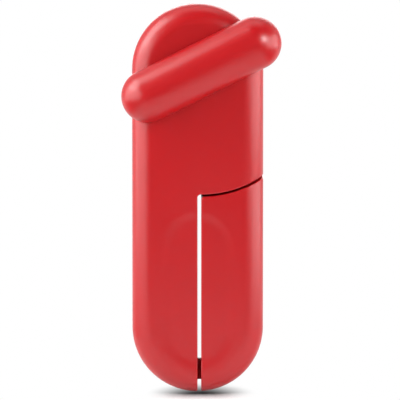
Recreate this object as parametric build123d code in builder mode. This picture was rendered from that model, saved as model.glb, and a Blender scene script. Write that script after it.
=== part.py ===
"""Manual can opener: a stadium-shaped red handle body, a swinging handle and a large turning knob.

Frame: +Z runs up the handles towards the head, -Y faces the user and the knob, +Y faces the can.
The origin is the centre of the feed wheel, on the axis that the knob turns. Millimetres.
"""

import os
from math import sqrt

from build123d import *

# Casing outline, seen from the front
BODY_LENGTH = 190.0
BODY_WIDTH = 64.0
HEAD_TOP_Z = 31.7
BODY_X = -1.8  # the outline's centre line, to the left of the knob's axis
FRONT_ROUND = 10.0
REAR_ROUND = 6.0
WALL = 2.4

# Casing stack along Y, front to back
FRONT_DEPTH = 15.0  # parting plane to front face
REAR_DEPTH = 11.0  # parting plane to rear face
RECESS_DEPTH = 5.4  # rear face to the sunk floor under the steel arm
REAR_FACE_Y = -1.0

# Shallow grip hollow in the front of both handles
HOLLOW_SIDE_LAND = 3.6  # flat face left beside the hollow, inside the rounded edge
HOLLOW_END_LAND = 0.8  # flat face left below it
HOLLOW_TOP_DROP = 6.8  # below the slit's upper end
HOLLOW_DEPTH = 0.4
HOLLOW_SLOPE = 6.0  # width of the soft slope down to its floor

# Split between the body and the swinging handle
SLIT_OFFSET = 0.8  # right of the outline's centre line
SLIT_GAP = 1.8
SEAM_GAP = 1.0
SEAM_RADIUS = 53.9
CORNER_ROUND = 1.5
EDGE_BREAK = 0.6
LIP_REACH = 1.6  # how far the body's lip goes behind the swinging handle's seam wall
LIP_THICKNESS = 1.4
LIP_END_GAP = 0.4  # the lip's end inside the casing's right side

# Eccentric hub that the swinging handle turns on
ECCENTRICITY = 7.5  # the hub's centre lies this far below the knob's axis
HUB_RADIUS = 13.5
HUB_FLANGE_RADIUS = 17.0
HUB_FLANGE_THICKNESS = 2.5
HUB_EAR_X = 21.0
HUB_EAR_RADIUS = 5.0
HUB_CAP_RADIUS = 15.0
HUB_CAP_THICKNESS = 1.2
HUB_SCREW_X = 8.5
HUB_SCREW_DROP = 2.5  # below the hub's centre
HUB_SCREW_RADIUS = 1.2
HUB_SCREW_LENGTH = 6.0
HUB_SCREW_HEAD_RADIUS = 2.2
HUB_SCREW_HEAD_HEIGHT = 0.9
RUNNING_GAP = 0.3
FIT_GAP = 0.05

# Steel arm of the swinging handle, and the recess that it sweeps
ARM_THICKNESS = 2.0
ARM_FLOOR_GAP = 0.4
ARM_RING_RADIUS = 18.5
ARM_LOBE_RADIUS = 7.0
ARM_LEG_WIDTH = 18.0
ARM_LEG_X = 14.0
ARM_LEG_TOP_Z = -62.0
ARM_LEG_END_Z = -118.0
ARM_NECK_X = 4.0
ARM_NECK_Z = -20.0
ARM_NECK_RADIUS = 11.0
ARM_SLOT_GAP = 0.2
RECESS_RADIUS = 28.5
RECESS_SIDE_GAP = 1.6

# Drive: knob, shaft and feed wheel
KNOB_LENGTH = 83.5
KNOB_WIDTH = 25.8
KNOB_HEIGHT = 16.0
KNOB_TILT = 26.4
KNOB_LIFT = 1.0
KNOB_CROWN_ROUND = 12.8
KNOB_FOOT_ROUND = 2.0
KNOB_WALL = 2.4
KNOB_BOSS_RADIUS = 7.0
KNOB_BASE_THICKNESS = 2.0
KNOB_PIN_RADIUS = 1.25
SHAFT_RADIUS = 4.0
SHAFT_SQUARE = 5.4
BUSH_WALL = 1.5
BUSH_FLANGE_RADIUS = 8.0
BUSH_FLANGE_THICKNESS = 0.8
BUSH_INNER_REACH = 2.0
THRUST_WASHER_RADIUS = 6.0
FEED_RADIUS = 7.5
FEED_TOOTH_DEPTH = 0.9
FEED_TEETH = 18
FEED_THICKNESS = 4.5
FEED_WEB = 1.8  # solid disc behind the square socket
FEED_SCREW_HEAD_RADIUS = 2.6
FEED_SCREW_HEAD_HEIGHT = 1.3
FEED_SCREW_RADIUS = 1.3
FEED_SCREW_LENGTH = 9.0

# Cutting wheel, carried by the steel arm
CUTTER_RADIUS = 11.5
CUTTER_OVERLAP = 0.6  # how far the closed wheels pass each other
CUTTER_THICKNESS = 1.6
CUTTER_BEVEL = 2.5
CUTTER_EDGE = 0.3
CUTTER_FEED_GAP = 0.45
STUD_RADIUS = 4.0
STUD_SPIGOT_RADIUS = 3.0
CUTTER_WASHER_RADIUS = 4.8
CUTTER_WASHER_THICKNESS = 0.6
CUTTER_SCREW_RADIUS = 1.5
CUTTER_SCREW_LENGTH = 7.0
CUTTER_SCREW_HEAD_RADIUS = 4.2
CUTTER_SCREW_HEAD_HEIGHT = 1.7

# Lid magnet on its arm behind the head
MAGNET_RADIUS = 6.0
MAGNET_THICKNESS = 4.0
MAGNET_EDGE = 0.4
MAGNET_FACE_X = -8.5
MAGNET_PROUD = 0.5
MAGNET_Y = 15.2
MAGNET_Z = 2.0
MAGNET_CUP_WALL = 1.6
MAGNET_ARM_WIDTH = 7.0
MAGNET_ARM_HEIGHT = 7.0
MAGNET_ARM_Z = 22.5
MAGNET_TENON_DEPTH = 5.0
MAGNET_SCREW_LENGTH = 9.0

# Latch near the free ends of the handles
LATCH_END_RISE = 11.2  # the tongue's middle above the handles' lower end
LATCH_HEIGHT = 9.8
LATCH_THICKNESS = 6.0
LATCH_FRONT_Y = -20.0
LATCH_REACH = 11.0  # past the slit, into the body
LATCH_POST_X = 8.0
LATCH_EYE_RADIUS = 5.4
LATCH_NOTCH_DEPTH = 1.6
LATCH_NOTCH_X = -9.0
LATCH_TIP_CHAMFER = 1.5
LATCH_SLOT_GAP = 0.8
CATCH_THICKNESS = 0.6
CATCH_WIDTH = 4.6
CATCH_GAP = 0.25
CATCH_END_X = -23.0
CATCH_ANCHOR_X = -20.0
CATCH_ANCHOR_WIDTH = 6.0

# Casing screws and the posts that take them
SCREW_RADIUS = 1.4
SCREW_HEAD_RADIUS = 2.9
SCREW_HEAD_HEIGHT = 1.5
SCREW_GRIP = 9.0  # thread inside a front post
POST_RADIUS = 3.6
BODY_SCREW_X = -18.0
BODY_SCREW_DROP = 10.6  # the upper one below the slit's upper end
BODY_SCREW_RISE = 38.3  # the lower one above the handles' lower end
LEVER_SCREW_ZS = (-78.0, -108.0)

# Places worked out from the sizes above
BODY_MID_Z = HEAD_TOP_Z - BODY_LENGTH / 2
BODY_END_Z = HEAD_TOP_Z - BODY_LENGTH
PARTING_Y = REAR_FACE_Y - REAR_DEPTH
FRONT_FACE_Y = PARTING_Y - FRONT_DEPTH
FRONT_INNER_Y = FRONT_FACE_Y + WALL
REAR_INNER_Y = REAR_FACE_Y - WALL
RECESS_Y = REAR_FACE_Y - RECESS_DEPTH
RECESS_INNER_Y = RECESS_Y - WALL
HUB_Z = -ECCENTRICITY
SLIT_X = BODY_X + SLIT_OFFSET
BODY_SLIT_X = SLIT_X - SLIT_GAP / 2
LEVER_SLIT_X = SLIT_X + SLIT_GAP / 2
BODY_SEAM_RADIUS = SEAM_RADIUS - SEAM_GAP / 2
LEVER_SEAM_RADIUS = SEAM_RADIUS + SEAM_GAP / 2
ARM_FRONT_Y = RECESS_Y + ARM_FLOOR_GAP
ARM_REAR_Y = ARM_FRONT_Y + ARM_THICKNESS
HUB_END_Y = ARM_REAR_Y + RUNNING_GAP
HUB_CAP_END_Y = HUB_END_Y + HUB_CAP_THICKNESS
HUB_FLANGE_Y = RECESS_INNER_Y - HUB_FLANGE_THICKNESS
FEED_FRONT_Y = -FEED_THICKNESS / 2
FEED_REAR_Y = FEED_THICKNESS / 2
KNOB_FOOT_Y = FRONT_FACE_Y - KNOB_LIFT
KNOB_TOP_Y = KNOB_FOOT_Y - KNOB_HEIGHT
KNOB_BASE_TOP_Y = KNOB_FOOT_Y - KNOB_BASE_THICKNESS
KNOB_PIN_Y = (KNOB_BASE_TOP_Y + KNOB_TOP_Y + KNOB_WALL) / 2
SHAFT_TOP_Y = KNOB_TOP_Y + 2 * KNOB_WALL
CUTTER_X = -(FEED_RADIUS + CUTTER_RADIUS - CUTTER_OVERLAP)
CUTTER_FRONT_Y = FEED_REAR_Y + CUTTER_FEED_GAP
CUTTER_REAR_Y = CUTTER_FRONT_Y + CUTTER_THICKNESS
CUTTER_PLAY = 0.15
STUD_END_Y = CUTTER_REAR_Y + CUTTER_PLAY
STUD_SHOULDER_Y = CUTTER_FRONT_Y - CUTTER_PLAY
HOLLOW_RADIUS = BODY_WIDTH / 2 - FRONT_ROUND - HOLLOW_SIDE_LAND
HOLLOW_TOP_Z = HUB_Z - SEAM_RADIUS - HOLLOW_TOP_DROP - HOLLOW_RADIUS
HOLLOW_END_Z = BODY_END_Z + FRONT_ROUND + HOLLOW_END_LAND + HOLLOW_RADIUS
LATCH_Z = BODY_END_Z + LATCH_END_RISE
BODY_SCREW_ZS = (HUB_Z - SEAM_RADIUS - BODY_SCREW_DROP, BODY_END_Z + BODY_SCREW_RISE)
LATCH_REAR_Y = LATCH_FRONT_Y + LATCH_THICKNESS
LATCH_TIP_X = BODY_SLIT_X - LATCH_REACH
LATCH_TOP_Z = LATCH_Z + LATCH_HEIGHT / 2
LATCH_NOTCH_SIDE = LATCH_NOTCH_DEPTH * sqrt(2)
FEED_NOTCH_SIDE = FEED_TOOTH_DEPTH * sqrt(2)
HUB_SCREW_XS = (-HUB_SCREW_X, HUB_SCREW_X)
HUB_SCREW_Z = HUB_Z - HUB_SCREW_DROP
BUSH_RADIUS = SHAFT_RADIUS + BUSH_WALL
BUSH_END_Y = FRONT_INNER_Y + BUSH_INNER_REACH
SHAFT_END_Y = FEED_REAR_Y - FEED_WEB - FIT_GAP
RECESS_SIDE_X = BODY_SLIT_X - RECESS_SIDE_GAP
RECESS_REACH = LEVER_SEAM_RADIUS + WALL
CUTTER_WASHER_END_Y = STUD_END_Y + CUTTER_WASHER_THICKNESS
CUTTER_SCREW_TIP_Y = CUTTER_WASHER_END_Y - CUTTER_SCREW_LENGTH
CUTTER_SCREW_END_Y = CUTTER_WASHER_END_Y + CUTTER_SCREW_HEAD_HEIGHT
MAGNET_TAB_RADIUS = MAGNET_RADIUS + MAGNET_CUP_WALL
MAGNET_ARM_X = MAGNET_FACE_X - MAGNET_PROUD
MAGNET_TENON_X = MAGNET_ARM_X - MAGNET_ARM_WIDTH / 2
MAGNET_TENON_Y = REAR_FACE_Y - MAGNET_TENON_DEPTH
MAGNET_TENON_XS = (MAGNET_ARM_X - MAGNET_ARM_WIDTH, MAGNET_ARM_X)
MAGNET_TENON_ZS = (MAGNET_ARM_Z - MAGNET_ARM_HEIGHT / 2, MAGNET_ARM_Z + MAGNET_ARM_HEIGHT / 2)
MAGNET_BEND_Z = MAGNET_TENON_ZS[1] - MAGNET_TAB_RADIUS
MAGNET_TENON_INNER_XS = (MAGNET_TENON_XS[0] + FIT_GAP, MAGNET_TENON_XS[1] - FIT_GAP)
MAGNET_TENON_INNER_ZS = (MAGNET_TENON_ZS[0] + FIT_GAP, MAGNET_TENON_ZS[1] - FIT_GAP)
MAGNET_SOCKET_XS = (MAGNET_TENON_XS[0] - WALL, MAGNET_TENON_XS[1] + WALL)
MAGNET_SOCKET_ZS = (MAGNET_TENON_ZS[0] - WALL, MAGNET_TENON_ZS[1] + WALL)
CATCH_REAR_Y = (LATCH_FRONT_Y + LATCH_REAR_Y + CATCH_WIDTH) / 2
CATCH_FRONT_Y = CATCH_REAR_Y - CATCH_WIDTH
CATCH_Z = LATCH_TOP_Z + RUNNING_GAP + CATCH_THICKNESS / 2
CATCH_DROP = CATCH_Z - (LATCH_TOP_Z - LATCH_NOTCH_DEPTH + (CATCH_THICKNESS / 2 + CATCH_GAP) * sqrt(2))
CATCH_ANCHOR_XS = (CATCH_ANCHOR_X - CATCH_ANCHOR_WIDTH / 2, CATCH_ANCHOR_X + CATCH_ANCHOR_WIDTH / 2)
CATCH_ANCHOR_ZS = (CATCH_Z - CATCH_ANCHOR_WIDTH / 2, CATCH_Z + CATCH_ANCHOR_WIDTH / 2)
CATCH_SLOT_XS = (CATCH_ANCHOR_XS[0] - WALL, CATCH_ANCHOR_XS[1] + WALL)
CATCH_SLOT_ZS = (CATCH_Z - CATCH_THICKNESS / 2 - FIT_GAP, CATCH_Z + CATCH_THICKNESS / 2 + FIT_GAP)
LIP_RADIUS = LEVER_SEAM_RADIUS + LIP_REACH
LIP_END_X = BODY_X + BODY_WIDTH / 2 - LIP_END_GAP
LIP_REAR_Y = PARTING_Y - RUNNING_GAP
LIP_FRONT_Y = LIP_REAR_Y - LIP_THICKNESS
FAR = BODY_LENGTH  # longer than any cut needs


def plane_at(y):
    """A plane seen from the front, X to the right and Z up, at depth y."""
    return Plane.XZ.offset(-y)


def slab(near_y, face_y, inset, edge_round):
    """The casing's stadium from near_y to face_y, drawn in by inset, with the far face's edge rounded."""
    with BuildPart() as blank:
        with BuildSketch(plane_at(near_y)):
            with Locations((BODY_X, BODY_MID_Z)):
                SlotOverall(BODY_LENGTH - 2 * inset, BODY_WIDTH - 2 * inset, rotation=90)
        extrude(amount=near_y - face_y)
        ends = blank.faces().filter_by(Axis.Y).sort_by(Axis.Y)
        face = ends[0] if face_y < near_y else ends[-1]
        fillet(face.edges(), edge_round)
    return blank.part


def lever_side(slit_x, seam_radius):
    """Everything right of the slit and below the curved seam, through the whole depth."""
    with BuildPart() as region:
        with BuildSketch(plane_at(0)):
            with Locations((slit_x, HUB_Z)):
                Rectangle(FAR, FAR, align=(Align.MIN, Align.MAX))
            with Locations((0, HUB_Z)):
                Circle(seam_radius, mode=Mode.SUBTRACT)
            corner = vertices().group_by(Axis.X)[0].sort_by(Axis.Y)[-1]
            fillet(corner, CORNER_ROUND)
        extrude(amount=FAR, both=True)
    return region.part


def hollow_profile(z):
    """Half of the grip hollow's section at height z: a flat floor and a soft slope up to its rim."""
    rim_radius = HOLLOW_RADIUS + HOLLOW_END_LAND / 2
    with BuildSketch(Plane((BODY_X, FRONT_FACE_Y, z))) as half:
        with BuildLine():
            foot = Line((0, HOLLOW_DEPTH), (HOLLOW_RADIUS - HOLLOW_SLOPE, HOLLOW_DEPTH))
            slope = Spline(foot @ 1, (HOLLOW_RADIUS, 0), tangents=((1, 0), (1, 0)))
            Polyline(slope @ 1, (rim_radius, 0), (rim_radius, -HOLLOW_DEPTH), (0, -HOLLOW_DEPTH), foot @ 0)
        make_face()
    return half.sketch


def grip_hollow():
    """What the shallow grip hollow takes out of both handles: a straight trough between two round ends."""
    with BuildPart() as dish:
        for z, turn in ((HOLLOW_TOP_Z, -1), (HOLLOW_END_Z, 1)):
            add(hollow_profile(z))
            revolve(axis=Axis((BODY_X, 0, z), (0, turn, 0)), revolution_arc=180)
        add(hollow_profile(HOLLOW_END_Z))
        mirror(hollow_profile(HOLLOW_END_Z), about=Plane((BODY_X, 0, 0), x_dir=(0, 1, 0), z_dir=(1, 0, 0)))
        extrude(amount=HOLLOW_TOP_Z - HOLLOW_END_Z, dir=(0, 0, 1))
    return dish.part


def front_blank():
    """The front half of the casing, solid, with the shallow grip hollow that both handles share."""
    with BuildPart() as blank:
        add(slab(PARTING_Y, FRONT_FACE_Y, 0, FRONT_ROUND))
        add(grip_hollow(), mode=Mode.SUBTRACT)
    return blank.part


def recess(grow, floor_y):
    """The space behind the head that the steel arm sweeps, from its floor to the back, grown all round."""
    with BuildPart() as region:
        with BuildSketch(plane_at(floor_y)):
            with Locations((0, HUB_Z)):
                Circle(RECESS_RADIUS + grow)
            with Locations((RECESS_SIDE_X - grow, HUB_Z)):
                Rectangle(FAR, RECESS_REACH + grow, align=(Align.MIN, Align.MAX))
        extrude(amount=-FAR)
    return region.part


def rod(x, z, radius, y_from, y_to):
    """A plain round bar along Y."""
    with BuildPart() as bar:
        with BuildSketch(plane_at(y_from)):
            with Locations((x, z)):
                Circle(radius)
        extrude(amount=y_from - y_to)
    return bar.part


def turned(x, z, profile):
    """A turned piece on an axis along Y through (x, z), from its half profile of (radius, y) points."""
    with BuildPart() as piece:
        with BuildSketch(Plane((x, 0, z), x_dir=(1, 0, 0), z_dir=(0, 0, 1))):
            with BuildLine():
                Polyline(*profile, close=True)
            make_face()
        revolve(axis=Axis((x, 0, z), (0, 1, 0)))
    return piece.part


def flat_screw(x, z, head_y, shank, head, way=-1):
    """A flat-head screw, its head flush with head_y. shank is (radius, length), head is (radius, height)."""
    profile = [
        (0, head_y),
        (head[0], head_y),
        (shank[0], head_y + way * head[1]),
        (shank[0], head_y + way * shank[1]),
        (0, head_y + way * shank[1]),
    ]
    return turned(x, z, profile)


def casing_screw(x, z, head_y, post_end_y, gap=0):
    """A casing screw with its full grip in a post that ends at post_end_y, or its space with a gap."""
    length = head_y - post_end_y + SCREW_GRIP
    return flat_screw(
        x, z, head_y, (SCREW_RADIUS + gap, length), (SCREW_HEAD_RADIUS + gap, SCREW_HEAD_HEIGHT + gap)
    )


def block(x_range, y_range, z_range):
    """A plain block between two values on each axis."""
    sizes = [high - low for low, high in (x_range, y_range, z_range)]
    middle = [(high + low) / 2 for low, high in (x_range, y_range, z_range)]
    with BuildPart() as piece:
        with Locations(tuple(middle)):
            Box(*sizes)
    return piece.part


# Where each casing screw stands: x, z, the face its head is flush with, the end of its post
HUB_SCREW_PLACES = [(side * HUB_EAR_X, HUB_Z, RECESS_Y, HUB_FLANGE_Y) for side in (-1, 1)]
BODY_SCREW_PLACES = HUB_SCREW_PLACES + [(BODY_SCREW_X, z, REAR_FACE_Y, PARTING_Y) for z in BODY_SCREW_ZS]
LEVER_SCREW_PLACES = [(ARM_LEG_X, z, REAR_FACE_Y, ARM_FRONT_Y) for z in LEVER_SCREW_ZS]
LEVER_SCREW_PLACES.append((LATCH_POST_X, LATCH_Z, REAR_FACE_Y, PARTING_Y))


def add_posts(places):
    """Posts on the inside of a front shell, each with a blind hole for its screw."""
    for x, z, head_y, post_end_y in places:
        add(rod(x, z, POST_RADIUS, post_end_y, FRONT_INNER_Y - WALL / 2))
    for x, z, head_y, post_end_y in places:
        hole_end_y = post_end_y - SCREW_GRIP - RUNNING_GAP
        add(rod(x, z, SCREW_RADIUS + FIT_GAP, post_end_y, hole_end_y), mode=Mode.SUBTRACT)


def latch_window(x_from, x_to, gap):
    """The opening in a slit wall for the latch tongue, with a gap all round."""
    return block(
        (x_from, x_to),
        (LATCH_FRONT_Y - gap, LATCH_REAR_Y + gap),
        (LATCH_Z - LATCH_HEIGHT / 2 - gap, LATCH_TOP_Z + gap),
    )


def round_split_edges():
    """Round the outer edges that the last cut left along the slit and the seam, in the part that is open."""
    fresh = edges(Select.LAST).filter_by(lambda edge: abs(edge.center().Y - PARTING_Y) > EDGE_BREAK)
    along_y = fresh.filter_by(Axis.Y)
    right = along_y.filter_by(lambda edge: edge.center().X > BODY_WIDTH / 4)
    bottom = along_y.filter_by(lambda edge: edge.center().Z < -BODY_LENGTH / 2)
    fillet(fresh.filter_by(Axis.Y, reverse=True) + right + bottom, EDGE_BREAK)


def seam_ring(inner_radius, outer_radius, x_range, y_range):
    """A piece of ring about the hub's centre, along the curved seam between two values of X."""
    with BuildPart() as ring:
        add(rod(0, HUB_Z, outer_radius, y_range[1], y_range[0]))
        add(rod(0, HUB_Z, inner_radius, y_range[1], y_range[0]), mode=Mode.SUBTRACT)
        add(block(x_range, y_range, (HUB_Z - FAR, HUB_Z)), mode=Mode.INTERSECT)
    return ring.part


def arm_outline(gap, front_y, rear_y):
    """The steel arm's outer form between two depths, grown by a gap."""
    with BuildPart() as form:
        with BuildSketch(plane_at(rear_y)):
            with BuildSketch(mode=Mode.PRIVATE) as head:
                with Locations((0, HUB_Z)):
                    Circle(ARM_RING_RADIUS)
                with Locations((CUTTER_X, 0)):
                    Circle(ARM_LOBE_RADIUS)
                make_hull()
            with BuildSketch(mode=Mode.PRIVATE) as neck:
                with Locations((ARM_NECK_X, ARM_NECK_Z)):
                    Circle(ARM_NECK_RADIUS)
                with Locations((ARM_LEG_X, ARM_LEG_TOP_Z)):
                    Circle(ARM_LEG_WIDTH / 2)
                make_hull()
            add(head.sketch)
            add(neck.sketch)
            with Locations((ARM_LEG_X, (ARM_LEG_TOP_Z + ARM_LEG_END_Z) / 2)):
                SlotCenterToCenter(ARM_LEG_TOP_Z - ARM_LEG_END_Z, ARM_LEG_WIDTH, rotation=90)
            if gap:
                offset(amount=gap)
        extrude(amount=rear_y - front_y)
    return form.part


def hub_screw(x, gap):
    """A screw that holds the hub cap, or the space for it with a gap."""
    shank = (HUB_SCREW_RADIUS + gap, HUB_SCREW_LENGTH)
    head = (HUB_SCREW_HEAD_RADIUS + gap, HUB_SCREW_HEAD_HEIGHT + gap)
    return flat_screw(x, HUB_SCREW_Z, HUB_CAP_END_Y, shank, head)


def magnet_fixing(gap):
    """The screw from inside the body into the magnet arm's tenon, or the space for it with a gap."""
    shank = (SCREW_RADIUS + gap, MAGNET_SCREW_LENGTH)
    head = (SCREW_HEAD_RADIUS + gap, SCREW_HEAD_HEIGHT + gap)
    return flat_screw(MAGNET_TENON_X, MAGNET_ARM_Z, PARTING_Y, shank, head, way=1)


def feed_fixing(gap):
    """The screw that holds the feed wheel on the shaft, or the space for it with a gap."""
    shank = (FEED_SCREW_RADIUS + gap, FEED_SCREW_LENGTH)
    head = (FEED_SCREW_HEAD_RADIUS + gap, FEED_SCREW_HEAD_HEIGHT + gap)
    return flat_screw(0, 0, FEED_REAR_Y, shank, head)


def cross_pin(radius):
    """A pin through the knob's boss and the shaft, along the knob's length."""
    knob_plane = Plane.XZ.offset(-KNOB_PIN_Y).rotated((0, -KNOB_TILT, 0))
    with BuildPart() as pin:
        with BuildSketch(Plane(knob_plane.origin, x_dir=knob_plane.z_dir, z_dir=knob_plane.x_dir)):
            Circle(radius)
        extrude(amount=KNOB_BOSS_RADIUS - FIT_GAP, both=True)
    return pin.part


# Body front shell: the head and the left handle, hollow from behind
with BuildPart() as body_front_cavity:
    add(slab(PARTING_Y, FRONT_INNER_Y, WALL, FRONT_ROUND - WALL))
    add(lever_side(BODY_SLIT_X - WALL, BODY_SEAM_RADIUS - WALL), mode=Mode.SUBTRACT)

with BuildPart() as body_front_shell:
    add(front_blank())
    add(lever_side(BODY_SLIT_X, BODY_SEAM_RADIUS), mode=Mode.SUBTRACT)
    round_split_edges()
    add(body_front_cavity.part, mode=Mode.SUBTRACT)
    add_posts(BODY_SCREW_PLACES)
    add(seam_ring(BODY_SEAM_RADIUS - WALL, LIP_RADIUS, (LEVER_SLIT_X, LIP_END_X), (LIP_FRONT_Y, LIP_REAR_Y)))
    add(block(CATCH_ANCHOR_XS, (FRONT_INNER_Y - WALL / 2, CATCH_REAR_Y), CATCH_ANCHOR_ZS))
    add(block(CATCH_SLOT_XS, (CATCH_FRONT_Y, PARTING_Y), CATCH_SLOT_ZS), mode=Mode.SUBTRACT)
    add(latch_window(BODY_SLIT_X - 2 * WALL, BODY_SLIT_X + WALL, LATCH_SLOT_GAP), mode=Mode.SUBTRACT)
    add(rod(0, 0, BUSH_RADIUS + FIT_GAP, FRONT_INNER_Y, FRONT_FACE_Y), mode=Mode.SUBTRACT)

# Body rear shell: raised behind the left handle and the crown of the head, sunk where the steel arm sweeps
with BuildPart() as body_rear_cavity:
    add(slab(PARTING_Y, REAR_INNER_Y, WALL, REAR_ROUND - WALL))
    add(lever_side(BODY_SLIT_X - WALL, BODY_SEAM_RADIUS - WALL), mode=Mode.SUBTRACT)
    add(recess(WALL, RECESS_INNER_Y), mode=Mode.SUBTRACT)

with BuildPart() as magnet_socket:
    add(slab(PARTING_Y, REAR_FACE_Y - WALL / 2, WALL / 2, REAR_ROUND - WALL / 2))
    add(block(MAGNET_SOCKET_XS, (PARTING_Y, REAR_FACE_Y), MAGNET_SOCKET_ZS), mode=Mode.INTERSECT)

with BuildPart() as body_rear_shell:
    add(slab(PARTING_Y, REAR_FACE_Y, 0, REAR_ROUND))
    add(lever_side(BODY_SLIT_X, BODY_SEAM_RADIUS), mode=Mode.SUBTRACT)
    round_split_edges()
    add(body_rear_cavity.part, mode=Mode.SUBTRACT)
    add(magnet_socket.part)
    for screw_z in BODY_SCREW_ZS:
        add(rod(BODY_SCREW_X, screw_z, POST_RADIUS, REAR_INNER_Y + WALL / 2, PARTING_Y))
    add(recess(0, RECESS_Y), mode=Mode.SUBTRACT)
    add(rod(0, HUB_Z, HUB_RADIUS + FIT_GAP, RECESS_Y, RECESS_INNER_Y), mode=Mode.SUBTRACT)
    for place in BODY_SCREW_PLACES:
        add(casing_screw(*place, gap=FIT_GAP), mode=Mode.SUBTRACT)
    add(block(MAGNET_TENON_XS, (MAGNET_TENON_Y - FIT_GAP, WALL), MAGNET_TENON_ZS), mode=Mode.SUBTRACT)
    add(magnet_fixing(FIT_GAP), mode=Mode.SUBTRACT)

# Screws that close the body over the hub's ears and the left handle
body_screws = Compound(children=[casing_screw(*place) for place in BODY_SCREW_PLACES])

# Eccentric hub: a flange clamped inside the body, a boss for the steel arm and an off-centre shaft bore
with BuildPart() as eccentric_hub:
    with BuildSketch(plane_at(RECESS_INNER_Y)):
        with Locations((0, HUB_Z)):
            Circle(HUB_FLANGE_RADIUS)
        with Locations((-HUB_EAR_X, HUB_Z), (HUB_EAR_X, HUB_Z)):
            Circle(HUB_EAR_RADIUS)
        make_hull()
        with Locations((-HUB_EAR_X, HUB_Z), (HUB_EAR_X, HUB_Z)):
            Circle(SCREW_RADIUS + FIT_GAP, mode=Mode.SUBTRACT)
    extrude(amount=HUB_FLANGE_THICKNESS)
    add(rod(0, HUB_Z, HUB_RADIUS, HUB_END_Y, RECESS_INNER_Y))
    add(rod(0, 0, SHAFT_RADIUS + FIT_GAP, HUB_END_Y, HUB_FLANGE_Y), mode=Mode.SUBTRACT)
    for screw_x in HUB_SCREW_XS:
        add(
            rod(screw_x, HUB_SCREW_Z, HUB_SCREW_RADIUS + FIT_GAP, HUB_END_Y, HUB_END_Y - HUB_SCREW_LENGTH),
            mode=Mode.SUBTRACT,
        )

# Hub cap: a disc that keeps the steel arm on the hub
with BuildPart() as hub_cap:
    add(rod(0, HUB_Z, HUB_CAP_RADIUS, HUB_CAP_END_Y, HUB_END_Y))
    add(rod(0, 0, SHAFT_RADIUS + RUNNING_GAP, HUB_CAP_END_Y, HUB_END_Y), mode=Mode.SUBTRACT)
    for screw_x in HUB_SCREW_XS:
        add(hub_screw(screw_x, FIT_GAP), mode=Mode.SUBTRACT)

hub_screws = Compound(children=[hub_screw(screw_x, 0) for screw_x in HUB_SCREW_XS])

# Front bush: a flanged sleeve that carries the shaft in the front shell and takes the knob's thrust
with BuildPart() as front_bush:
    add(rod(0, 0, BUSH_RADIUS, BUSH_END_Y, FRONT_FACE_Y))
    add(rod(0, 0, BUSH_FLANGE_RADIUS, FRONT_FACE_Y, FRONT_FACE_Y - BUSH_FLANGE_THICKNESS))
    add(
        rod(0, 0, SHAFT_RADIUS + FIT_GAP, BUSH_END_Y, FRONT_FACE_Y - BUSH_FLANGE_THICKNESS),
        mode=Mode.SUBTRACT,
    )

# Magnet arm: a tenon in the rear shell, a bar over the cutting wheel and a round tab with the magnet's cup
with BuildPart() as magnet_arm:
    with BuildSketch(Plane.YZ.offset(MAGNET_ARM_X)):
        with Locations((MAGNET_Y, (MAGNET_Z + MAGNET_BEND_Z) / 2)):
            SlotCenterToCenter(MAGNET_BEND_Z - MAGNET_Z, 2 * MAGNET_TAB_RADIUS, rotation=90)
        with BuildLine():
            Polyline(
                (REAR_FACE_Y, MAGNET_TENON_ZS[0]),
                (MAGNET_Y, MAGNET_TENON_ZS[0]),
                (MAGNET_Y, MAGNET_TENON_ZS[1]),
                (REAR_FACE_Y, MAGNET_TENON_ZS[1]),
                close=True,
            )
        make_face()
    extrude(amount=-MAGNET_ARM_WIDTH)
    add(block(MAGNET_TENON_INNER_XS, (MAGNET_TENON_Y, REAR_FACE_Y), MAGNET_TENON_INNER_ZS))
    with BuildSketch(Plane.YZ.offset(MAGNET_ARM_X)):
        with Locations((MAGNET_Y, MAGNET_Z)):
            Circle(MAGNET_RADIUS + FIT_GAP)
    extrude(amount=MAGNET_PROUD - MAGNET_THICKNESS, mode=Mode.SUBTRACT)
    add(magnet_fixing(FIT_GAP), mode=Mode.SUBTRACT)

magnet_screw = magnet_fixing(0)

with BuildPart() as lid_magnet:
    with BuildSketch(Plane.YZ.offset(MAGNET_FACE_X)):
        with Locations((MAGNET_Y, MAGNET_Z)):
            Circle(MAGNET_RADIUS)
    extrude(amount=-MAGNET_THICKNESS)
    chamfer(lid_magnet.faces().sort_by(Axis.X)[-1].edges(), MAGNET_EDGE)

# Catch spring: a bent strip whose bump drops into the latch tongue's notch and holds the handles shut
with BuildPart() as catch_spring:
    with BuildSketch(plane_at(CATCH_REAR_Y)):
        with BuildLine():
            Polyline(
                (CATCH_END_X, CATCH_Z),
                (LATCH_NOTCH_X - CATCH_DROP, CATCH_Z),
                (LATCH_NOTCH_X, CATCH_Z - CATCH_DROP),
                (LATCH_NOTCH_X + CATCH_DROP, CATCH_Z),
                (LATCH_NOTCH_X + 2 * CATCH_DROP, CATCH_Z + CATCH_DROP),
            )
        trace(line_width=CATCH_THICKNESS)
    extrude(amount=CATCH_WIDTH)

# Knob: a long pebble, hollow from below, with a boss for the shaft
with BuildPart() as knob_cavity:
    with BuildSketch(plane_at(KNOB_FOOT_Y)):
        SlotOverall(KNOB_LENGTH - 2 * KNOB_WALL, KNOB_WIDTH - 2 * KNOB_WALL, rotation=KNOB_TILT)
    extrude(amount=KNOB_HEIGHT - KNOB_WALL)
    fillet(knob_cavity.faces().sort_by(Axis.Y)[0].edges(), KNOB_CROWN_ROUND - KNOB_WALL)
    add(rod(0, 0, KNOB_BOSS_RADIUS, KNOB_BASE_TOP_Y, KNOB_TOP_Y), mode=Mode.SUBTRACT)

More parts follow.
